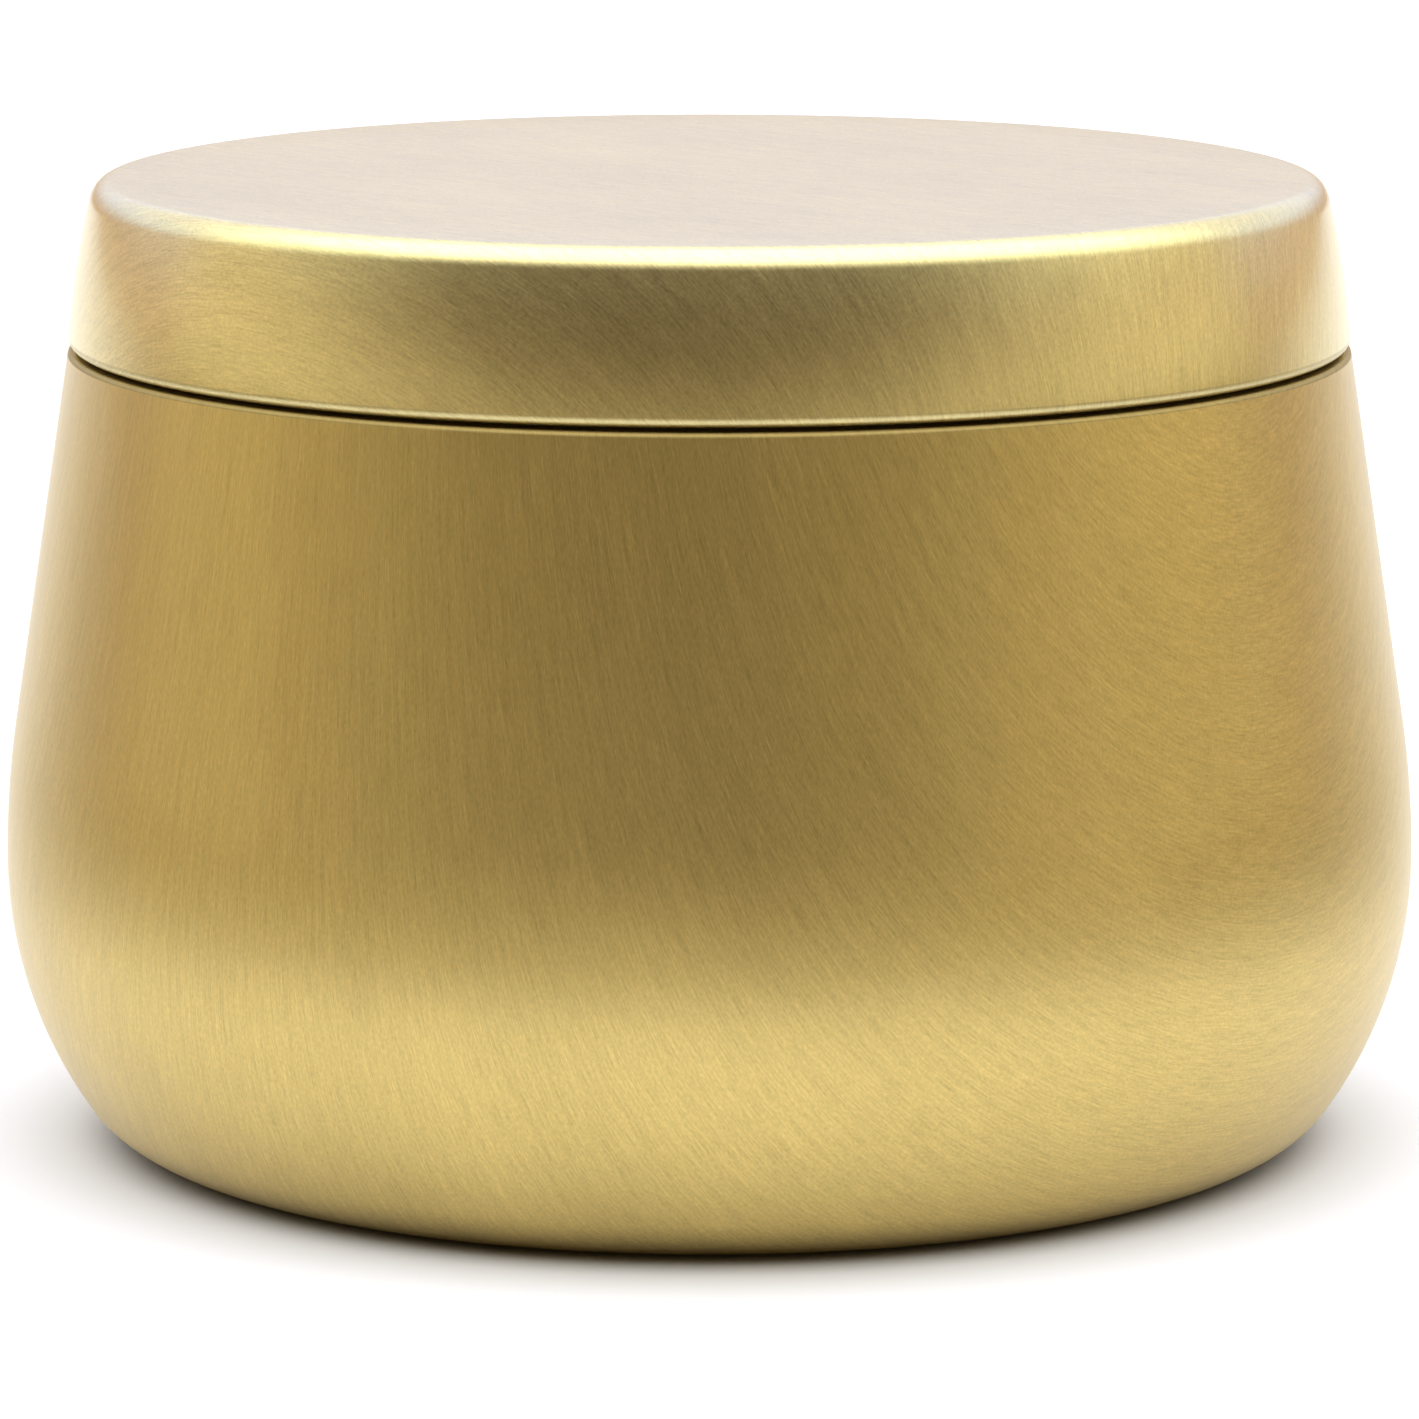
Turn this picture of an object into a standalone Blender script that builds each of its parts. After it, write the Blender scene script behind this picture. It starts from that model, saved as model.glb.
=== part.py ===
"""A bellied slip-lid tin for pouring candles into: a drawn cup and a lid that lifts straight off its neck.

Both pieces are thin tinplate, each drawn from one flat disc, so each is one turned sheet. Metres, +Z up. The
origin is the middle of the base, on the floor.
"""

import math

import bpy

# ---- Driving dimensions, in metres ----

SHEET = 0.0003  # thickness of the tinplate in both pieces

# Wall of the body, from the floor up: a base corner, two belly arcs that meet at the widest point, and a
# straight wall that leans in towards the shoulder.
BELLY_RADIUS = 0.0450
BELLY_HEIGHT = 0.0181
BASE_CORNER_ARC = 0.0067
LOWER_BELLY_ARC = 0.0269
UPPER_BELLY_ARC = 0.0577
WALL_LEAN = math.radians(8.7)
SHOULDER_HEIGHT = 0.0507
SHOULDER_ARC = 0.00033

# Base of the body: a flat standing ring, then a soft step up to the recessed panel.
STANDING_RING_WIDTH = 0.0014
PANEL_STEP_WIDTH = 0.0020
PANEL_RISE = 0.0010

# Neck of the body, under the lid.
NECK_FILLET = 0.0004
MOUTH_CURL = 0.0008  # outside radius of the inward curl at the mouth

# Lid, from the top down: a tight edge arc, an arc that eases it into the skirt, a skirt that is nearly straight,
# and the hem. The leans are the skirt's own, from the upright.
LID_DEPTH = 0.01045
LID_EDGE_ARC = 0.00125
EASING_ARC = 0.0024
EASING_LEAN = math.radians(35)
SKIRT_TOP_LEAN = math.radians(13.5)
SKIRT_FOOT_LEAN = math.radians(5)
HEM_CURL = 0.0006  # outside radius of the inward curl at the hem

# Fits between the two pieces.
SEAM_GAP = 0.00025  # from the shoulder's ledge up to the hem
NECK_CLEARANCE = 0.00035  # from the neck out to the hem, and from the mouth out to the skirt
SEAT_GAP = 0.0003  # from the mouth up to the underside of the lid

CURL_SWEEP = math.radians(225)  # how far each curl turns

# ---- Mesh fineness ----

TURN_STEPS = 48
MERGE_DISTANCE = 1e-5

# ---- Finish ----

GOLD_LACQUER = (0.60, 0.43, 0.17, 1.0)
LACQUER_ROUGHNESS = 0.32

RIGHT_ANGLE = math.pi / 2


def arc(centre, radius, start, end, segments):
    """Points on a round stretch of an outline, both ends included, as (radius, height) pairs."""
    turn = (end - start) / segments
    angles = [start + turn * i for i in range(segments + 1)]
    return [(centre[0] + radius * math.cos(a), centre[1] + radius * math.sin(a)) for a in angles]


def wall_radius(height):
    """Outside radius of the straight, leaning wall at a height."""
    meets_belly = (
        BELLY_RADIUS - UPPER_BELLY_ARC * (1 - math.cos(WALL_LEAN)),
        BELLY_HEIGHT + UPPER_BELLY_ARC * math.sin(WALL_LEAN),
    )
    return meets_belly[0] - math.tan(WALL_LEAN) * (height - meets_belly[1])


def hem_radius():
    """Outside radius of the lid at its hem, which carries on the line of the wall across the seam."""
    return wall_radius(SHOULDER_HEIGHT + SEAM_GAP)


def next_centre(centre, radius, new_radius, angle):
    """Centre of an arc that carries on from another one at an angle, in the same direction."""
    step = radius - new_radius
    return (centre[0] + step * math.cos(angle), centre[1] + step * math.sin(angle))


def lid_arcs():
    """Centre and radius of the lid's four arcs, heights measured from the hem: hem, skirt, easing and edge."""
    hem = (hem_radius() - HEM_CURL, HEM_CURL)
    easing_height = LID_DEPTH - LID_EDGE_ARC * (1 - math.sin(EASING_LEAN))
    skirt_top = easing_height - EASING_ARC * (math.sin(EASING_LEAN) - math.sin(SKIRT_TOP_LEAN))
    skirt_foot = HEM_CURL * (1 + math.sin(SKIRT_FOOT_LEAN))
    skirt_arc = (skirt_top - skirt_foot) / (math.sin(SKIRT_TOP_LEAN) - math.sin(SKIRT_FOOT_LEAN))

    skirt = next_centre(hem, HEM_CURL, skirt_arc, SKIRT_FOOT_LEAN)
    easing = next_centre(skirt, skirt_arc, EASING_ARC, SKIRT_TOP_LEAN)
    edge = next_centre(easing, EASING_ARC, LID_EDGE_ARC, EASING_LEAN)
    return (hem, HEM_CURL), (skirt, skirt_arc), (easing, EASING_ARC), (edge, LID_EDGE_ARC)


def skirt_radius(height):
    """Outside radius of the lid's skirt at a height above the hem."""
    centre, radius = lid_arcs()[1]
    return centre[0] + math.sqrt(radius**2 - (height - centre[1]) ** 2)


def lid_outline():
    """The lid's outside, from the middle of its top, over the edge and down the skirt, into the hem's curl.

    Heights are measured from the hem.
    """
    hem, skirt, easing, edge = lid_arcs()
    return (
        [(0.0, LID_DEPTH)]
        + arc(*edge, RIGHT_ANGLE, EASING_LEAN, 3)
        + arc(*easing, EASING_LEAN, SKIRT_TOP_LEAN, 2)[1:]
        + arc(*skirt, SKIRT_TOP_LEAN, SKIRT_FOOT_LEAN, 3)[1:]
        + arc(*hem, SKIRT_FOOT_LEAN, SKIRT_FOOT_LEAN - CURL_SWEEP, 6)[1:]
    )


def neck_outline():
    """The neck's outside, from the end of the mouth's curl down to the ledge that the shoulder starts from."""
    mouth_height = SHOULDER_HEIGHT + SEAM_GAP + LID_DEPTH - SHEET - SEAT_GAP - MOUTH_CURL
    skirt_inside = skirt_radius(mouth_height - SHOULDER_HEIGHT - SEAM_GAP) - SHEET / math.cos(SKIRT_TOP_LEAN)
    mouth_radius = skirt_inside - NECK_CLEARANCE
    foot_radius = hem_radius() - 2 * HEM_CURL - NECK_CLEARANCE
    foot_height = SHOULDER_HEIGHT + NECK_FILLET
    lean = math.atan2(foot_radius - mouth_radius, mouth_height - foot_height)

    curl = arc((mouth_radius - MOUTH_CURL, mouth_height), MOUTH_CURL, lean + CURL_SWEEP, lean, 8)
    foot = arc((foot_radius + NECK_FILLET, foot_height), NECK_FILLET, math.pi + lean, 1.5 * math.pi, 3)
    return curl + foot


def wall_outline():
    """The wall's outside, from the shoulder down to the standing ring."""
    shoulder_height = SHOULDER_HEIGHT - SHOULDER_ARC
    shoulder_radius = wall_radius(shoulder_height) - SHOULDER_ARC / math.cos(WALL_LEAN)
    shoulder = arc((shoulder_radius, shoulder_height), SHOULDER_ARC, RIGHT_ANGLE, WALL_LEAN, 3)

    upper_centre = (BELLY_RADIUS - UPPER_BELLY_ARC, BELLY_HEIGHT)
    upper = arc(upper_centre, UPPER_BELLY_ARC, WALL_LEAN, 0.0, 4)

    # The base corner sits on the floor and runs into the lower belly arc without a kink.
    across = LOWER_BELLY_ARC - BASE_CORNER_ARC
    up = BELLY_HEIGHT - BASE_CORNER_ARC
    lower_end = -math.asin(up / across)
    lower_centre = (BELLY_RADIUS - LOWER_BELLY_ARC, BELLY_HEIGHT)
    lower = arc(lower_centre, LOWER_BELLY_ARC, 0.0, lower_end, 6)
    corner_centre = (lower_centre[0] + across * math.cos(lower_end), BASE_CORNER_ARC)
    corner = arc(corner_centre, BASE_CORNER_ARC, lower_end, -RIGHT_ANGLE, 6)

    return shoulder + upper + lower[1:] + corner[1:]


def base_outline(ring_radius):
    """The base's underside, from the standing ring's outer edge to the middle of the recessed panel."""
    step_start = ring_radius - STANDING_RING_WIDTH
    segments = 6
    shares = [i / segments for i in range(segments + 1)]
    step = [
        (step_start - PANEL_STEP_WIDTH * share, PANEL_RISE * (1 - math.cos(math.pi * share)) / 2)
        for share in shares
    ]
    return step + [(0.0, PANEL_RISE)]


def body_outline():
    """The body's outside, from the end of the mouth's curl to the middle of the base."""
    wall = wall_outline()
    ring_radius = wall[-1][0]
    return neck_outline() + wall + base_outline(ring_radius)


def lacquered_tinplate(name):
    """Tinplate under a clear gold lacquer, with a satin roll-ground surface."""
    material = bpy.data.materials.new(name)
    material.use_nodes = True
    shader = material.node_tree.nodes["Principled BSDF"]
    shader.inputs["Base Color"].default_value = GOLD_LACQUER
    shader.inputs["Metallic"].default_value = 1.0
    shader.inputs["Roughness"].default_value = LACQUER_ROUGHNESS
    material.diffuse_color = GOLD_LACQUER
    return material


def drawn_sheet(name, outline, material):
    """One sheet-metal piece: its outside outline turned about Z, with the sheet's thickness inside it."""
    mesh = bpy.data.meshes.new(name)
    points = [(radius, 0.0, height) for radius, height in outline]
    edges = [(i, i + 1) for i in range(len(points) - 1)]
    mesh.from_pydata(points, edges, [])
    mesh.materials.append(material)
    piece = bpy.data.objects.new(name, mesh)

    turn = piece.modifiers.new("Turn", "SCREW")
    turn.axis = "Z"
    turn.angle = 2 * math.pi
    turn.steps = TURN_STEPS
    turn.render_steps = TURN_STEPS
    turn.use_merge_vertices = True
    turn.merge_threshold = MERGE_DISTANCE
    turn.use_smooth_shade = True

    sheet = piece.modifiers.new("Sheet", "SOLIDIFY")
    sheet.thickness = SHEET
    sheet.offset = -1.0
    sheet.use_even_offset = True
    return piece


def clear_scene():
    for obj in list(bpy.data.objects):
        bpy.data.objects.remove(obj, do_unlink=True)


def build():
    clear_scene()
    collection = bpy.data.collections.new("candle_tin")
    bpy.context.scene.collection.children.link(collection)

    base_centre = bpy.data.objects.new("base_centre", None)
    collection.objects.link(base_centre)

    tin_body = drawn_sheet("tin_body", body_outline(), lacquered_tinplate("body_tinplate"))
    lid = drawn_sheet("lid", lid_outline(), lacquered_tinplate("lid_tinplate"))
    lid.location.z = SHOULDER_HEIGHT + SEAM_GAP

    for piece in (tin_body, lid):
        piece.parent = base_centre
        collection.objects.link(piece)


build()
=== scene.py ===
# %% [markdown]
# # A gold candle tin
#
# This notebook builds the looks of a small metal tin that candles are poured into. The real tin is two
# pieces of thin steel sheet, coated with gold lacquer while it was still flat and then pressed to shape: a
# round bellied cup, and a lid that slips over the cup's neck. Everything here hangs on a packed engineering
# model of the same tin, the frame, so each piece goes exactly where the frame says and moves with it.

# %% Load the frame
import math

import bpy
import numpy as np
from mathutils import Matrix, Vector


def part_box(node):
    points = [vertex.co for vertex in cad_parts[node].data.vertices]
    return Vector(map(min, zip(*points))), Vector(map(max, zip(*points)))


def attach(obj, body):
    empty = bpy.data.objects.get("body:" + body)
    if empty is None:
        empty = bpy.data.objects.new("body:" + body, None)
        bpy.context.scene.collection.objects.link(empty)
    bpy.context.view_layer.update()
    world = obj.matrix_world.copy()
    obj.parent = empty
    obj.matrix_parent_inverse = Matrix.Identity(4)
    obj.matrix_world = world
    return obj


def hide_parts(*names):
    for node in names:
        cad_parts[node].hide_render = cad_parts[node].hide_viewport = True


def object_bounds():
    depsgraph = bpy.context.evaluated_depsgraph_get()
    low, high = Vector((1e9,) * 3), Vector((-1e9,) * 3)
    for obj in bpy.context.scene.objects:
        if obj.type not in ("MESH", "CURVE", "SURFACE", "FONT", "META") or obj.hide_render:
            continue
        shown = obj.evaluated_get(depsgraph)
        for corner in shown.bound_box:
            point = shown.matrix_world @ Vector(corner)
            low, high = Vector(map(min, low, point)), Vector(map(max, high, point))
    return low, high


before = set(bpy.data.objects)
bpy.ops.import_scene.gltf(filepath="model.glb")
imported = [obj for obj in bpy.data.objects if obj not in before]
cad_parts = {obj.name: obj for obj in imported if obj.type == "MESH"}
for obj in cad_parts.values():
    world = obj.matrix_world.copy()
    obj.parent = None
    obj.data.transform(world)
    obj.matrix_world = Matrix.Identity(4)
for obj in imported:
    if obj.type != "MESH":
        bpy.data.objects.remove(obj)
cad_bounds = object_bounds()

# %% [markdown]
# ## The camera
#
# A small product is photographed from some way off with a long lens, so that its rim and its base are seen
# in nearly the same shape. The camera stands half a metre in front, a little above the lid, and tips down
# by ten degrees. Its height is counted from the surface that the tin stands on.

# %% Camera
CAMERA_DISTANCE = 0.495
CAMERA_HEIGHT = 0.1158
CAMERA_TIP = math.radians(10.17)
LENS_MM = 198.9
SENSOR_MM = 36.0

camera_data = bpy.data.cameras.new("camera")
camera_data.lens = LENS_MM
camera_data.sensor_width = SENSOR_MM
camera_data.clip_start = 0.01
camera = bpy.data.objects.new("camera", camera_data)
camera.location = (0.0, -CAMERA_DISTANCE, CAMERA_HEIGHT)
camera.rotation_euler = (math.pi / 2 - CAMERA_TIP, 0.0, 0.0)
bpy.context.scene.collection.objects.link(camera)
bpy.context.scene.camera = camera
print(f"camera {CAMERA_DISTANCE * 1000:.0f} mm away, {CAMERA_HEIGHT * 1000:.0f} mm up")

# %% [markdown]
# ## The sizes of the tin
#
# Both pieces are turned shapes: one outline carried round the upright axis. An outline could be traced as a
# long list of points, but a press tool is cut from straight lines and arcs, so the outline is written the
# same way, from a handful of radii. The overall sizes are read from the frame, and the radii of the press
# tool are the ones that the frame was made with.

# %% Sizes, in metres
body_low, body_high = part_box("tin_body")
lid_low, lid_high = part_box("lid")

BELLY_RADIUS = body_high.x
LID_TOP = lid_high.z
LID_DEPTH = 0.01045
HEM_HEIGHT = LID_TOP - LID_DEPTH
SEAM_GAP = 0.00025
SHOULDER_HEIGHT = HEM_HEIGHT - SEAM_GAP

SHEET = 0.0003
BELLY_HEIGHT = 0.0181
BASE_CORNER_ARC = 0.0067
LOWER_BELLY_ARC = 0.0269
UPPER_BELLY_ARC = 0.0577
WALL_LEAN = math.radians(8.7)
SHOULDER_ARC = 0.00033

print(f"belly {BELLY_RADIUS * 2000:.1f} mm across, lid top {LID_TOP * 1000:.1f} mm up")

# %% [markdown]
# ## Drawing with arcs
#
# Every rounded stretch of the outline is an arc between two angles. Points are placed by angle, close
# enough together that the metal's long soft reflections run over them without a kink.

# %% Arc helper
POINTS_PER_TURN = 140
LEAST_ARC_POINTS = 8
RIGHT_ANGLE = math.pi / 2


def arc(centre, radius, start, end, least=LEAST_ARC_POINTS):
    """Points from one angle to another, both ends included, as (radius, height) pairs."""
    count = max(least, round(abs(end - start) / (2 * math.pi) * POINTS_PER_TURN))
    angles = np.linspace(start, end, count + 1)
    return [(centre[0] + radius * math.cos(a), centre[1] + radius * math.sin(a)) for a in angles]


def straight(start, end, pieces):
    """Points between two ends of a straight stretch, both ends left out."""
    shares = [i / pieces for i in range(1, pieces)]
    return [(start[0] + (end[0] - start[0]) * s, start[1] + (end[1] - start[1]) * s) for s in shares]


# %% [markdown]
# ## The wall of the cup
#
# From the shoulder down, the wall runs straight and leans outwards, swells over two belly arcs that meet at
# the widest point, and turns under on a small corner arc to the ring that it stands on. Each arc starts
# where the last one ends and in the same direction, as a press tool's do, which keeps the reflections
# smooth.

# %% Wall outline
STRAIGHT_PIECES = 6

wall_foot = (
    BELLY_RADIUS - UPPER_BELLY_ARC * (1 - math.cos(WALL_LEAN)),
    BELLY_HEIGHT + UPPER_BELLY_ARC * math.sin(WALL_LEAN),
)


def wall_radius(height):
    """Outside radius of the straight part of the wall."""
    return wall_foot[0] - math.tan(WALL_LEAN) * (height - wall_foot[1])


shoulder_height = SHOULDER_HEIGHT - SHOULDER_ARC
shoulder_radius = wall_radius(shoulder_height) - SHOULDER_ARC / math.cos(WALL_LEAN)
shoulder = arc((shoulder_radius, shoulder_height), SHOULDER_ARC, RIGHT_ANGLE, WALL_LEAN)

upper_belly = arc((BELLY_RADIUS - UPPER_BELLY_ARC, BELLY_HEIGHT), UPPER_BELLY_ARC, WALL_LEAN, 0.0)

across = LOWER_BELLY_ARC - BASE_CORNER_ARC
belly_end = -math.asin((BELLY_HEIGHT - BASE_CORNER_ARC) / across)
lower_belly_centre = (BELLY_RADIUS - LOWER_BELLY_ARC, BELLY_HEIGHT)
lower_belly = arc(lower_belly_centre, LOWER_BELLY_ARC, 0.0, belly_end)

corner_centre = (lower_belly_centre[0] + across * math.cos(belly_end), BASE_CORNER_ARC)
base_corner = arc(corner_centre, BASE_CORNER_ARC, belly_end, -RIGHT_ANGLE)

wall = shoulder + straight(shoulder[-1], upper_belly[0], STRAIGHT_PIECES)
wall += upper_belly + lower_belly[1:] + base_corner[1:]
print(f"wall outline: {len(wall)} points, standing ring at {wall[-1][0] * 1000:.1f} mm")

# %% [markdown]
# ## The base of the cup
#
# The tin stands on a narrow flat ring. Inside it the bottom is pressed up by a millimetre, which stiffens
# the thin sheet and keeps a drop of spilled wax from lifting the tin. The step is a soft S, so a cosine
# draws it.

# %% Base outline
STANDING_RING_WIDTH = 0.0014
PANEL_STEP_WIDTH = 0.0020
PANEL_RISE = 0.0010
STEP_PIECES = 16
PANEL_PIECES = 6

ring_inner = wall[-1][0] - STANDING_RING_WIDTH
base = [
    (ring_inner - PANEL_STEP_WIDTH * i / STEP_PIECES,
     PANEL_RISE * (1 - math.cos(math.pi * i / STEP_PIECES)) / 2)
    for i in range(STEP_PIECES + 1)
]
panel_edge = base[-1]
base += straight(panel_edge, (0.0, PANEL_RISE), PANEL_PIECES) + [(0.0, PANEL_RISE)]
print(f"base outline: {len(base)} points, panel {panel_edge[0] * 2000:.1f} mm across")

# %% [markdown]
# ## The lid
#
# A flat disc, a tight rounded edge that eases into the skirt, and a skirt that carries on the slope of the
# wall below it. Pressed sheet springs back a little, so the skirt isn't straight: it leans in more at its
# top than at its foot. Its bottom edge is rolled inwards into a hem, so that no raw edge is left to cut a
# finger. Four arcs draw all of it. They are laid out from the hem upwards, because the hem is what has to
# meet the wall.

# %% Lid outline
LID_EDGE_ARC = 0.00125
EASING_ARC = 0.0024
HEM_CURL = 0.0006
EASING_LEAN = math.radians(35)
SKIRT_TOP_LEAN = math.radians(13.5)
SKIRT_FOOT_LEAN = math.radians(5)
CURL_SWEEP = math.radians(225)
LEAST_SKIRT_POINTS = 20

hem_radius = wall_radius(HEM_HEIGHT)
hem_centre = (hem_radius - HEM_CURL, HEM_HEIGHT + HEM_CURL)

easing_height = LID_TOP - LID_EDGE_ARC * (1 - math.sin(EASING_LEAN))
skirt_top = easing_height - EASING_ARC * (math.sin(EASING_LEAN) - math.sin(SKIRT_TOP_LEAN))
skirt_foot = hem_centre[1] + HEM_CURL * math.sin(SKIRT_FOOT_LEAN)
skirt_arc = (skirt_top - skirt_foot) / (math.sin(SKIRT_TOP_LEAN) - math.sin(SKIRT_FOOT_LEAN))


def next_centre(centre, radius, new_radius, angle):
    """Centre of an arc that carries on from another one at an angle, in the same direction."""
    step = radius - new_radius
    return (centre[0] + step * math.cos(angle), centre[1] + step * math.sin(angle))


skirt_centre = next_centre(hem_centre, HEM_CURL, skirt_arc, SKIRT_FOOT_LEAN)
easing_centre = next_centre(skirt_centre, skirt_arc, EASING_ARC, SKIRT_TOP_LEAN)
edge_centre = next_centre(easing_centre, EASING_ARC, LID_EDGE_ARC, EASING_LEAN)


def skirt_radius(height):
    """Outside radius of the skirt at a height."""
    return skirt_centre[0] + math.sqrt(skirt_arc ** 2 - (height - skirt_centre[1]) ** 2)


lid_edge = arc(edge_centre, LID_EDGE_ARC, RIGHT_ANGLE, EASING_LEAN)
lid_outline = [(0.0, LID_TOP)] + straight((0.0, LID_TOP), lid_edge[0], PANEL_PIECES)
lid_outline += lid_edge
lid_outline += arc(easing_centre, EASING_ARC, EASING_LEAN, SKIRT_TOP_LEAN)[1:]
lid_outline += arc(skirt_centre, skirt_arc, SKIRT_TOP_LEAN, SKIRT_FOOT_LEAN, LEAST_SKIRT_POINTS)[1:]
lid_outline += arc(hem_centre, HEM_CURL, SKIRT_FOOT_LEAN, SKIRT_FOOT_LEAN - CURL_SWEEP)[1:]
print(f"lid outline: {len(lid_outline)} points, hem {hem_radius * 2000:.1f} mm across")

# %% [markdown]
# ## The neck and the mouth
#
# Under the lid the cup steps in to a neck that the lid slips over, and its mouth is rolled inwards like the
# hem. The neck takes its size from the lid that must pass over it: its foot clears the hem, and its mouth
# clears the inside of the skirt.

# %% Neck outline
NECK_FILLET = 0.0004
MOUTH_CURL = 0.0008
NECK_CLEARANCE = 0.00035
LEDGE_PIECES = 4

mouth_height = body_high.z - MOUTH_CURL
mouth_radius = skirt_radius(mouth_height) - SHEET / math.cos(SKIRT_TOP_LEAN) - NECK_CLEARANCE
neck_foot = (hem_radius - 2 * HEM_CURL - NECK_CLEARANCE, SHOULDER_HEIGHT + NECK_FILLET)
neck_lean = math.atan2(neck_foot[0] - mouth_radius, mouth_height - neck_foot[1])

mouth = arc((mouth_radius - MOUTH_CURL, mouth_height), MOUTH_CURL, neck_lean + CURL_SWEEP, neck_lean)
neck_fillet = arc((neck_foot[0] + NECK_FILLET, neck_foot[1]), NECK_FILLET,
                  math.pi + neck_lean, 1.5 * math.pi)
neck = mouth + straight(mouth[-1], neck_fillet[0], STRAIGHT_PIECES) + neck_fillet
ledge = straight(neck_fillet[-1], shoulder[0], LEDGE_PIECES)
body_outline = neck + ledge + wall + base
print(f"body outline: {len(body_outline)} points, mouth {mouth_radius * 2000:.1f} mm across")

# %% [markdown]
# ## From a line to a sheet
#
# The outline is only the outside face. The sheet has a thickness, so a second line runs inside it, each
# point moved squarely across the sheet. Both outlines run from top to bottom, so the inside is always on
# the right.

# %% Give the outline its thickness


def inside_line(outline):
    """The outline moved inwards by the sheet's thickness."""
    steps = np.diff(outline, axis=0)
    steps /= np.linalg.norm(steps, axis=1)[:, None]
    ahead = np.vstack([steps, steps[-1:]])
    behind = np.vstack([steps[:1], steps])
    along = ahead + behind
    along /= np.linalg.norm(along, axis=1)[:, None]
    stretch = 1.0 / (ahead * along).sum(axis=1)
    across_sheet = np.stack([along[:, 1], -along[:, 0]], axis=1)
    line = outline + across_sheet * (SHEET * stretch)[:, None]
    line[outline[:, 0] < SHEET, 0] = 0.0
    return line


# %% [markdown]
# ## Where each point lay on the flat sheet
#
# The sheet came off the rolls with a fine straight grain, and pressing bent that grain with the metal. To
# draw it, every point must know where it lay on the flat disc, the blank. Pressing hardly changes the area
# of the metal, so a ring of the finished piece came from a ring of the blank that holds the same area
# inside it. That gives the ring's radius on the blank, and the two coordinates on the blank become a UV
# map. Its U direction is turned to lie along the grain, which is seldom lined up with anything on the
# finished tin.

# %% Blank radius


def blank_radius(outline):
    """Radius on the flat disc of each outline point, counted from the end that lies on the axis."""
    starts_on_axis = outline[0, 0] < outline[-1, 0]
    line = outline if starts_on_axis else outline[::-1]
    lengths = np.linalg.norm(np.diff(line, axis=0), axis=1)
    bands = 2 * lengths * (line[1:, 0] + line[:-1, 0]) / 2
    radius = np.sqrt(np.concatenate([[0.0], np.cumsum(bands)]))
    return radius if starts_on_axis else radius[::-1]


body_line = np.array(body_outline)
lid_line = np.array(lid_outline)
print(f"blanks: body {blank_radius(body_line)[0] * 2000:.0f} mm across, "
      f"lid {blank_radius(lid_line)[-1] * 2000:.0f} mm")

# %% [markdown]
# ## Where the sheet is bent sharply
#
# Lacquer is thinnest where the sheet is bent most, on the shoulder and on the curls, and those edges are
# also the first to be rubbed dull. These curls also line the seam between lid and cup, and there the gold
# is darkened as painted shade, which dims the thin bright lines along the seam. How sharply the outline
# turns at each point is measured here and stored with the mesh, so that the finish can be rougher and the
# gold darker there. Blender's own Pointiness could find the edges too, but it changes with the fineness of
# the mesh, and a radius in metres doesn't.

# %% Sharpness of the bend
GENTLE_BEND = 0.0010
SHARP_BEND = 0.0004


def bend_share(outline):
    """How bent the sheet is at each outline point, from 0 at a gentle radius to 1 at a sharp one."""
    steps = np.diff(outline, axis=0)
    lengths = np.linalg.norm(steps, axis=1)
    heading = np.unwrap(np.arctan2(steps[:, 1], steps[:, 0]))
    curvature = np.abs(np.diff(heading)) / ((lengths[1:] + lengths[:-1]) / 2)
    share = (curvature - 1 / GENTLE_BEND) / (1 / SHARP_BEND - 1 / GENTLE_BEND)
    return np.concatenate([[0.0], np.clip(share, 0.0, 1.0), [1.0]])


body_bent = int((bend_share(body_line) > 0.0).sum())
lid_bent = int((bend_share(lid_line) > 0.0).sum())
print(f"bent sharply enough to wear: {body_bent} body points, {lid_bent} lid points")

# %% [markdown]
# ## Turning the section
#
# Blender can turn an outline with a Screw modifier or with bmesh's spin. Here the grid of points is laid
# out directly, because each one also carries its place on the blank. The section is a closed loop: down the
# outside, round the cut edge and back along the inside. A point on the axis is one vertex, and every other
# point is a ring of them.

# %% Turn a section into a mesh
TURN_STEPS = 208
SHARP_ANGLE = math.radians(50)
AXIS_REACH = 1e-7


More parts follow.
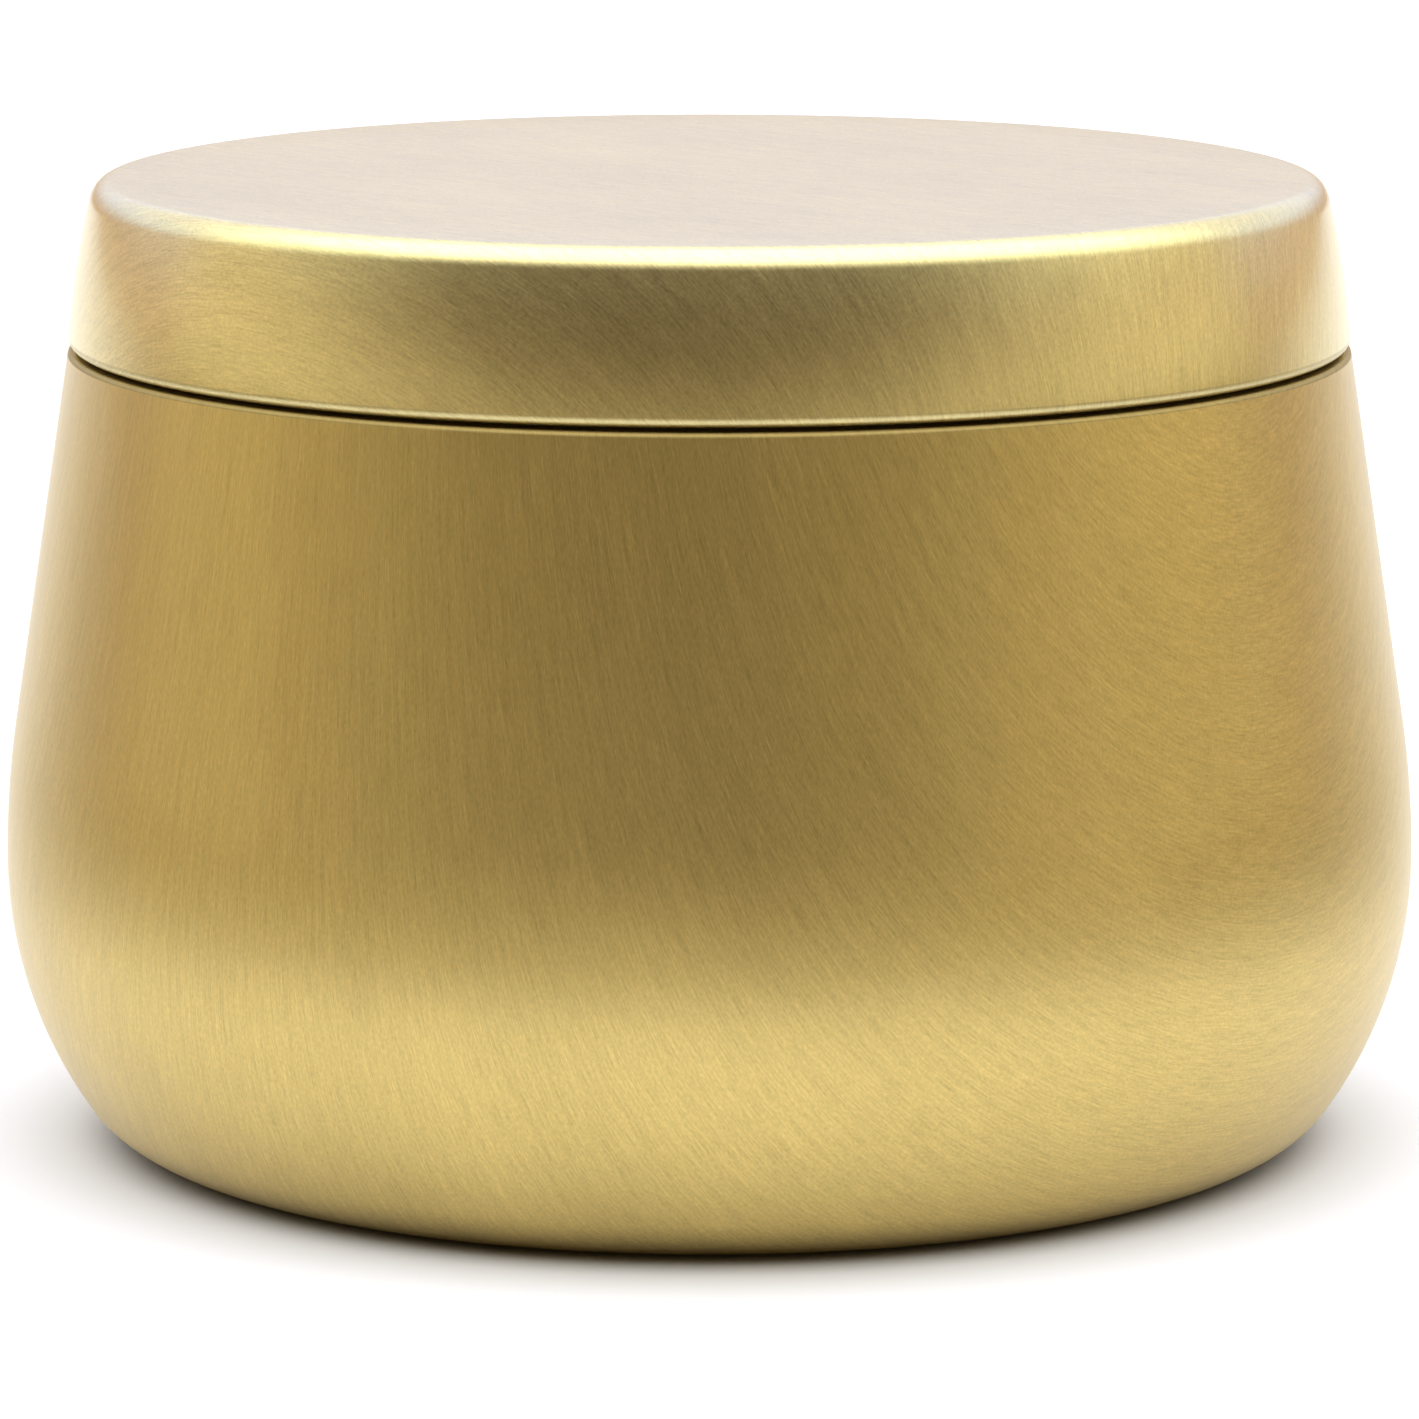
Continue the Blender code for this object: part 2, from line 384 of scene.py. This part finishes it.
def turned_sheet(name, outline, grain_direction):
    """A sheet-metal piece turned from its outline, with its map of the blank and its bends."""
    section = np.vstack([outline, inside_line(outline)[::-1]])
    blank = np.concatenate([blank_radius(outline), blank_radius(outline)[::-1]])
    bends = np.concatenate([bend_share(outline), bend_share(outline)[::-1]])
    turn = np.arange(TURN_STEPS) * (2 * math.pi / TURN_STEPS)

    vertices, rings, flat, bent = [], [], [], []
    for (radius, height), on_blank, bend in zip(section, blank, bends):
        angles = turn if radius > AXIS_REACH else turn[:1]
        rings.append(len(vertices) + np.arange(len(angles)))
        vertices += [(radius * math.cos(a), radius * math.sin(a), height) for a in angles]
        flat += [(on_blank * math.cos(a - grain_direction), on_blank * math.sin(a - grain_direction))
                 for a in angles]
        bent += [bend] * len(angles)

    faces = []
    for near, far in zip(rings, rings[1:] + rings[:1]):
        for i in range(TURN_STEPS if len(near) + len(far) > 2 else 0):
            j = (i + 1) % TURN_STEPS
            corners = (near[i % len(near)], far[i % len(far)], far[j % len(far)], near[j % len(near)])
            faces.append(tuple(dict.fromkeys(int(c) for c in corners)))

    mesh = bpy.data.meshes.new(name)
    mesh.from_pydata(vertices, [], faces)
    uv = mesh.uv_layers.new(name="blank")
    corner_vertices = np.empty(len(mesh.loops), np.int32)
    mesh.loops.foreach_get("vertex_index", corner_vertices)
    uv.uv.foreach_set("vector", np.array(flat, np.float32)[corner_vertices].ravel())
    mesh.attributes.new("bend", "FLOAT", "POINT").data.foreach_set("value", np.array(bent, np.float32))
    mesh.shade_smooth()
    mesh.set_sharp_from_angle(angle=SHARP_ANGLE)
    piece = bpy.data.objects.new(name, mesh)
    bpy.context.scene.collection.objects.link(piece)
    print(f"{name}: {len(vertices)} vertices, {len(faces)} faces")
    return piece


# %% [markdown]
# ## Gold lacquer on rolled steel
#
# The finish is a clear gold lacquer over bright rolled steel. The steel gives the metallic reflection and
# the fine grain. The lacquer tints it gold and adds its own thin, colourless gloss, strongest where the
# surface is seen edge on, which is why the tin turns pale at its sides and on its flat top. So the shader
# is a metal with a coat. The grain is noise read from the map of the blank and stretched along U, so it
# runs straight on the flat sheet and bends round the finished wall by itself. An image of brushed metal
# could be used instead, but it would repeat, and noise never does.

# %% Node helper


def add_node(tree, kind, inputs=None, **settings):
    """A node with some settings and some input values or links."""
    node = tree.nodes.new(kind)
    for name, value in settings.items():
        setattr(node, name, value)
    for key, value in (inputs or {}).items():
        if isinstance(value, bpy.types.NodeSocket):
            tree.links.new(value, node.inputs[key])
        else:
            node.inputs[key].default_value = value
    return node


# %% [markdown]
# ## The grain, in four sizes
#
# A brushed look needs marks of more than one size. The shortest are scratches a millimetre or two long and
# as thin as a hair, with a sandy speckle between them. Longer streaks run through both, and a faint
# cloudiness lies over everything. Each is one noise, given by the length and the width of one mark, and
# they are mixed a pair at a time.

# %% One size of grain
NOISE_ROUGHNESS = 0.6
SEED_SLANT = 0.37


def grain_noise(tree, blank_map, length, width, detail, seed):
    """Noise drawn out along the grain: length and width are one mark's, in metres on the blank."""
    stretched = add_node(
        tree, "ShaderNodeMapping",
        {"Vector": blank_map, "Location": (seed, seed * SEED_SLANT, 0.0),
         "Scale": (1 / length, 1 / width, 1.0)},
    )
    noise = add_node(
        tree, "ShaderNodeTexNoise",
        {"Vector": stretched.outputs["Vector"], "Scale": 1.0, "Detail": detail,
         "Roughness": NOISE_ROUGHNESS},
        noise_dimensions="2D",
    )
    return noise.outputs["Fac"]


# %% All sizes together
SCRATCHES = {"length": 0.0016, "width": 0.00010, "detail": 3.0, "seed": 3.1}
SAND = {"length": 0.00028, "width": 0.00018, "detail": 3.0, "seed": 1.9}
STREAKS = {"length": 0.0070, "width": 0.00050, "detail": 2.0, "seed": 7.7}
CLOUD = {"length": 0.0300, "width": 0.01200, "detail": 2.0, "seed": 5.3}
SAND_SHARE = 0.45
STREAK_SHARE = 0.20
CLOUD_SHARE = 0.12


def mixed(tree, share, first, second):
    """Two values mixed, with the second one's share given."""
    mix = add_node(tree, "ShaderNodeMix", {"Factor": share, "A": first, "B": second}, data_type="FLOAT")
    return mix.outputs[0]


def rolled_grain(tree):
    """The grain that moves gloss and relief, and the same with the cloudiness, which moves the colour."""
    blank_map = add_node(tree, "ShaderNodeUVMap", uv_map="blank").outputs["UV"]
    scratches = grain_noise(tree, blank_map, **SCRATCHES)
    fine = mixed(tree, SAND_SHARE, scratches, grain_noise(tree, blank_map, **SAND))
    grain = mixed(tree, STREAK_SHARE, fine, grain_noise(tree, blank_map, **STREAKS))
    tone = mixed(tree, CLOUD_SHARE, grain, grain_noise(tree, blank_map, **CLOUD))
    return grain, tone


# %% [markdown]
# ## The lacquered metal
#
# The tone runs between a darker and a lighter gold. Where the sheet is bent sharply, the gold is darkened,
# partly for worn lacquer and partly as painted shade that dims the bright lines along the seam, and the
# gloss is roughened by the share stored with the mesh. The relief is only a thousandth of a millimetre
# deep, enough to break up the reflections and no more.

# %% Gold lacquer
COAT_IOR = 1.5
COAT_ROUGHNESS = 0.1
GRAIN_CONTRAST = 0.26
NOISE_RANGE = {"From Min": 0.3, "From Max": 0.7}
ROUGHNESS_SPREAD = 0.02
RELIEF_DEPTH = 0.000001
RELIEF_STRENGTH = 0.5
# painted shade at sharp bends: how far the gold darkens there, dimming the bright lines along the seam
BEND_DARKER = 0.36
BEND_ROUGHER = 0.25


def gold_shaded_at_bends(tree, gold, tone, bend):
    """The gold with its grain, darkened at sharp bends partly for wear and partly as painted shade."""
    spread = add_node(tree, "ShaderNodeMapRange", {"Value": tone, **NOISE_RANGE})
    grained = add_node(tree, "ShaderNodeMix", {"Factor": spread.outputs["Result"]}, data_type="RGBA")
    grained.inputs[6].default_value = (*(channel * (1 - GRAIN_CONTRAST) for channel in gold), 1.0)
    grained.inputs[7].default_value = (*(min(1.0, channel * (1 + GRAIN_CONTRAST)) for channel in gold), 1.0)
    # painted shade: the gold mixed towards black by the bend share
    bend_shade = add_node(tree, "ShaderNodeMath", {0: bend, 1: BEND_DARKER}, operation="MULTIPLY")
    changed_at_bends = add_node(tree, "ShaderNodeMix", {"Factor": bend_shade.outputs[0]}, data_type="RGBA")
    tree.links.new(grained.outputs[2], changed_at_bends.inputs[6])
    changed_at_bends.inputs[7].default_value = (0.0, 0.0, 0.0, 1.0)
    return changed_at_bends.outputs[2]


def worn_gloss(tree, roughness, grain, bend):
    """The roughness with its grain, rougher where the sheet is bent sharply."""
    grained = add_node(
        tree, "ShaderNodeMapRange",
        {"Value": grain, **NOISE_RANGE, "To Min": roughness - ROUGHNESS_SPREAD,
         "To Max": roughness + ROUGHNESS_SPREAD},
    )
    changed_at_bends = add_node(tree, "ShaderNodeMath", {0: bend, 1: BEND_ROUGHER, 2: grained.outputs["Result"]},
                    operation="MULTIPLY_ADD")
    return changed_at_bends.outputs[0]


def lacquered_tinplate(name, gold, roughness, coat):
    """Gold-lacquered rolled tinplate with its grain along U of the map of the blank."""
    material = bpy.data.materials.new(name)
    material.use_nodes = True
    tree = material.node_tree
    shader = tree.nodes["Principled BSDF"]
    grain, tone = rolled_grain(tree)
    bend = add_node(tree, "ShaderNodeAttribute", attribute_name="bend").outputs["Fac"]
    relief = add_node(tree, "ShaderNodeBump",
                      {"Height": grain, "Strength": RELIEF_STRENGTH, "Distance": RELIEF_DEPTH})

    tree.links.new(gold_shaded_at_bends(tree, gold, tone, bend), shader.inputs["Base Color"])
    tree.links.new(worn_gloss(tree, roughness, grain, bend), shader.inputs["Roughness"])
    tree.links.new(relief.outputs["Normal"], shader.inputs["Normal"])
    shader.inputs["Metallic"].default_value = 1.0
    shader.inputs["Coat Weight"].default_value = coat
    shader.inputs["Coat Roughness"].default_value = COAT_ROUGHNESS
    shader.inputs["Coat IOR"].default_value = COAT_IOR
    print(f"{name}: gold {gold}, roughness {roughness}, {len(tree.nodes)} nodes")
    return material


# %% [markdown]
# ## Making the two pieces
#
# The grain of the cup stands upright at the left of the front, and that of the lid upright at the right:
# the two discs were punched with the sheet lying at different angles, and the lid can be put on any way
# round. The lid is given a paler gold than the cup, and a glossier finish.

# %% Cup and lid
BODY_GRAIN = math.radians(-128)
BODY_GOLD = (0.61, 0.465, 0.165)
BODY_ROUGHNESS = 0.38
BODY_COAT = 0.15
LID_GRAIN = math.radians(-46)
LID_GOLD = (0.79, 0.68, 0.33)
LID_ROUGHNESS = 0.30
LID_COAT = 0.22

body = turned_sheet("tin_body_sheet", body_line, BODY_GRAIN)
body.data.materials.append(lacquered_tinplate("body_tinplate", BODY_GOLD, BODY_ROUGHNESS, BODY_COAT))
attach(body, "tin")
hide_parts("tin_body")

lid = turned_sheet("lid_sheet", lid_line, LID_GRAIN)
lid.data.materials.append(lacquered_tinplate("lid_tinplate", LID_GOLD, LID_ROUGHNESS, LID_COAT))
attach(lid, "lid")
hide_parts("lid")

# %% [markdown]
# ## The floor
#
# A plain white surface, large enough to fill the view behind the tin. It lies a hair below the standing
# ring, so that the two faces don't fight over the same place. Light this even leaves hardly any shadow
# under the overhang of the belly, where a real tin has a thin dark line, so a painted shadow darkens the
# paper to grey just round the foot.

# %% Stage helpers
RIM_POINTS = 45


def ring_points(radius):
    """Points round a circle on the floor."""
    angles = np.linspace(0, 2 * math.pi, RIM_POINTS + 1)[:-1]
    return [(radius * math.cos(a), radius * math.sin(a), 0.0) for a in angles]


def band_faces():
    """The faces of a band between one ring of points and the next."""
    return [(i, (i + 1) % RIM_POINTS, (i + 1) % RIM_POINTS + RIM_POINTS, i + RIM_POINTS)
            for i in range(RIM_POINTS)]


def stage_piece(name, points, faces, height=0.0):
    """A piece of the studio, which isn't part of the tin, with a material of its own."""
    mesh = bpy.data.meshes.new(name)
    mesh.from_pydata(points, [], faces)
    material = bpy.data.materials.new(name)
    material.use_nodes = True
    mesh.materials.append(material)
    piece = bpy.data.objects.new(name, mesh)
    piece.location.z = height
    bpy.context.scene.collection.objects.link(piece)
    return piece, material


def outward_fade(tree, reach):
    """A value that rises smoothly from 0 to 1 between two distances from the tin's axis."""
    place = add_node(tree, "ShaderNodeNewGeometry").outputs["Position"]
    distance = add_node(tree, "ShaderNodeVectorMath", {0: place}, operation="LENGTH")
    fade = add_node(
        tree, "ShaderNodeMapRange",
        {"Value": distance.outputs["Value"], "From Min": reach[0], "From Max": reach[1]},
        interpolation_type="SMOOTHSTEP",
    )
    return fade.outputs["Result"]


# %% Floor
FLOOR_RADIUS = 3.0
FLOOR_DROP = 0.00002
FLOOR_WHITE = (0.78, 0.79, 0.83, 1.0)
# painted shadow: the paper's grey just round the foot, where the belly's overhang would shade it
FOOT_SHADE = (0.36, 0.36, 0.38, 1.0)
FOOT_SHADE_REACH = (0.0350, 0.0415)

rim = ring_points(FLOOR_RADIUS)
floor, floor_paper = stage_piece("floor", rim, [range(RIM_POINTS)], cad_bounds[0].z - FLOOR_DROP)
floor_tree = floor_paper.node_tree
floor_shader = floor_tree.nodes["Principled BSDF"]
# the paper's colour: the painted shadow near the foot, white further out
paper = add_node(floor_tree, "ShaderNodeMix", {"Factor": outward_fade(floor_tree, FOOT_SHADE_REACH)},
                 data_type="RGBA")
paper.inputs[6].default_value = FOOT_SHADE
paper.inputs[7].default_value = FLOOR_WHITE
floor_tree.links.new(paper.outputs[2], floor_shader.inputs["Base Color"])
floor_shader.inputs["Roughness"].default_value = 1.0
floor_shader.inputs["Specular IOR Level"].default_value = 0.0
print(f"floor {FLOOR_RADIUS * 2:.0f} m across, shaded to {FOOT_SHADE_REACH[1] * 1000:.1f} mm from the axis")

# %% [markdown]
# ## The backdrop
#
# Seen from low down, the floor would end at a horizon. A plain white wall stands round it at its rim and
# glows just enough to look like the floor. Only the camera sees it: it lights nothing and the metal doesn't
# reflect it, so it can be there from every side without touching the light.

# %% Backdrop
BACKDROP_HEIGHT = 3.0
BACKDROP_WHITE = (1.0, 1.0, 1.0, 1.0)

upper_rim = [(x, y, BACKDROP_HEIGHT) for x, y, _ in rim]
backdrop, backdrop_cloth = stage_piece("backdrop", rim + upper_rim, band_faces())
backdrop_tree = backdrop_cloth.node_tree
glow = add_node(backdrop_tree, "ShaderNodeEmission", {"Color": BACKDROP_WHITE, "Strength": 1.0})
backdrop_tree.links.new(glow.outputs[0], backdrop_tree.nodes["Material Output"].inputs["Surface"])
backdrop_cloth.cycles.emission_sampling = "NONE"
backdrop.visible_diffuse = False
backdrop.visible_glossy = False
backdrop.visible_transmission = False
backdrop.visible_shadow = False
print(f"backdrop {BACKDROP_HEIGHT:.0f} m high, seen by the camera only")

# %% [markdown]
# ## The light tent
#
# Metal shows its surroundings, so its light is really a picture of the studio. A few lamps would leave hard
# shapes on the curved wall. A light tent, white cloth all round with the lamps outside it, gives long soft
# gradients instead, and a world shader can be that tent: its colour depends only on the direction looked
# in. From the floor up, the cloth starts dim and warm, turns white, and is brightest overhead. In front is
# the dim opening that the camera looks in through, which gives the tin its dark middle.

# %% Cloth of the tent, coloured by height
TENT_STRENGTH = 2.7
SIDE_CLOTH = (
    (0.00, (0.46, 0.42, 0.30)),
    (0.17, (0.22, 0.15, 0.09)),
    (0.42, (0.66, 0.71, 0.65)),
    (0.75, (1.00, 1.00, 1.00)),
    (1.00, (1.00, 1.00, 1.00)),
)
BACK_CLOTH = (
    (0.00, (0.22, 0.12, 0.03)),
    (0.25, (0.35, 0.39, 0.59)),
    (0.60, (0.40, 0.40, 0.45)),
    (1.00, (1.00, 1.00, 1.00)),
)


def cloth(tree, height, stops):
    """A colour ramp over the sine of the angle above the horizon."""
    ramp = add_node(tree, "ShaderNodeValToRGB", {"Fac": height})
    elements = ramp.color_ramp.elements
    while len(elements) < len(stops):
        elements.new(0.5)
    for element, (place, colour) in zip(elements, stops):
        element.position = place
        element.color = (*colour, 1.0)
    return ramp.outputs["Color"]


# %% [markdown]
# ## The tent's opening
#
# The opening is a soft oval round one direction: dark inside, the cloth's own colour outside, and blurred
# in between, because a satin metal blurs what it mirrors. It is stretched sideways far more than upwards.
# The back of the tent takes over from its sides where the direction turns behind the tin.

# %% The whole tent
OPENING_SIDEWAYS = math.radians(-6.5)
OPENING_UP = math.radians(18.4)
OPENING_REACH = (1.61, 1.61, 0.44)
OPENING_EDGE = (0.41, 1.0)
OPENING_DARK = (0.024, 0.012, 0.003, 1.0)
BACK_BEGINS = (0.224, 0.446)

world = bpy.data.worlds.new("light_tent")
world.use_nodes = True
tent = world.node_tree
direction = add_node(tent, "ShaderNodeTexCoord").outputs["Generated"]
parts = add_node(tent, "ShaderNodeSeparateXYZ", {"Vector": direction})

behind = add_node(
    tent, "ShaderNodeMapRange",
    {"Value": parts.outputs["Y"], "From Min": BACK_BEGINS[0], "From Max": BACK_BEGINS[1]},
    interpolation_type="SMOOTHSTEP",
)
cloths = add_node(tent, "ShaderNodeMix", {"Factor": behind.outputs["Result"]}, data_type="RGBA")
tent.links.new(cloth(tent, parts.outputs["Z"], SIDE_CLOTH), cloths.inputs[6])
tent.links.new(cloth(tent, parts.outputs["Z"], BACK_CLOTH), cloths.inputs[7])

opening = (
    math.sin(OPENING_SIDEWAYS) * math.cos(OPENING_UP),
    -math.cos(OPENING_SIDEWAYS) * math.cos(OPENING_UP),
    math.sin(OPENING_UP),
)
away = add_node(tent, "ShaderNodeVectorMath", {0: direction, 1: opening}, operation="SUBTRACT")
scaled = add_node(tent, "ShaderNodeVectorMath", {0: away.outputs[0], 1: OPENING_REACH}, operation="DIVIDE")
distance = add_node(tent, "ShaderNodeVectorMath", {0: scaled.outputs[0]}, operation="LENGTH")
outside = add_node(
    tent, "ShaderNodeMapRange",
    {"Value": distance.outputs["Value"], "From Min": OPENING_EDGE[0], "From Max": OPENING_EDGE[1]},
    interpolation_type="SMOOTHSTEP",
)
tent_colour = add_node(tent, "ShaderNodeMix", {"Factor": outside.outputs["Result"]}, data_type="RGBA")
tent_colour.inputs[6].default_value = OPENING_DARK
tent.links.new(cloths.outputs[2], tent_colour.inputs[7])
tent.links.new(tent_colour.outputs[2], tent.nodes["Background"].inputs["Color"])
tent.nodes["Background"].inputs["Strength"].default_value = TENT_STRENGTH
bpy.context.scene.world = world
bpy.context.scene.view_settings.view_transform = "Standard"
print(f"tent of {len(SIDE_CLOTH)} and {len(BACK_CLOTH)} colours, strength {TENT_STRENGTH}")

# %% [markdown]
# ## The edge of the white paper
#
# The belly of the tin looks down at the floor around it, and a floor that was white for ever would light
# the dark middle from below. On a real table the white paper dims towards its edge, a hand's width from the
# tin. That dimmer light is painted here as a ring that glows a fixed dull colour, painted shade that only
# the tin's reflections can see: hidden from the camera, the floor stays plain from every side. It fades in
# slowly from the tin outwards, and fades away behind the tin, where the paper runs on.

# %% Painted shade ring around the paper
PAPER_EDGE = (0.055, 0.22)
TABLE_HOLE = 0.050
TABLE_HEIGHT = 0.0004
# painted shade: the dull colour that the ring glows, in place of the paper's dimmer light
PAPER_EDGE_SHADE = (0.36, 0.27, 0.13, 1.0)
FADE_BEHIND = (0.2, 1.0)

table, table_top = stage_piece(
    "paper_edge_shade", ring_points(FLOOR_RADIUS) + ring_points(TABLE_HOLE), band_faces(), TABLE_HEIGHT)
table_tree = table_top.node_tree
place = add_node(table_tree, "ShaderNodeNewGeometry").outputs["Position"]
bearing = add_node(table_tree, "ShaderNodeVectorMath", {0: place}, operation="NORMALIZE")
backwards = add_node(table_tree, "ShaderNodeSeparateXYZ", {"Vector": bearing.outputs[0]})
fading = add_node(
    table_tree, "ShaderNodeMapRange",
    {"Value": backwards.outputs["Y"], "From Min": FADE_BEHIND[0], "From Max": FADE_BEHIND[1],
     "To Min": 1.0, "To Max": 0.0},
    interpolation_type="SMOOTHSTEP",
)
shown = add_node(
    table_tree, "ShaderNodeMath",
    {0: outward_fade(table_tree, PAPER_EDGE), 1: fading.outputs["Result"]}, operation="MULTIPLY",
)
paper_shows = add_node(table_tree, "ShaderNodeBsdfTransparent")
# the painted shade glows here, seen only in the tin's reflections
dark = add_node(table_tree, "ShaderNodeEmission", {"Color": PAPER_EDGE_SHADE, "Strength": 1.0})
top = add_node(
    table_tree, "ShaderNodeMixShader",
    {"Fac": shown.outputs["Value"], 1: paper_shows.outputs[0], 2: dark.outputs[0]},
)
table_tree.links.new(top.outputs[0], table_tree.nodes["Material Output"].inputs["Surface"])
table_top.cycles.emission_sampling = "NONE"
table.visible_camera = False
table.visible_diffuse = False
table.visible_shadow = False
print(f"paper dims from {PAPER_EDGE[0] * 1000:.0f} to {PAPER_EDGE[1] * 1000:.0f} mm from the axis")

# %% Frame box
print("frame box:", [round(c * 1000, 2) for corner in cad_bounds for c in corner])
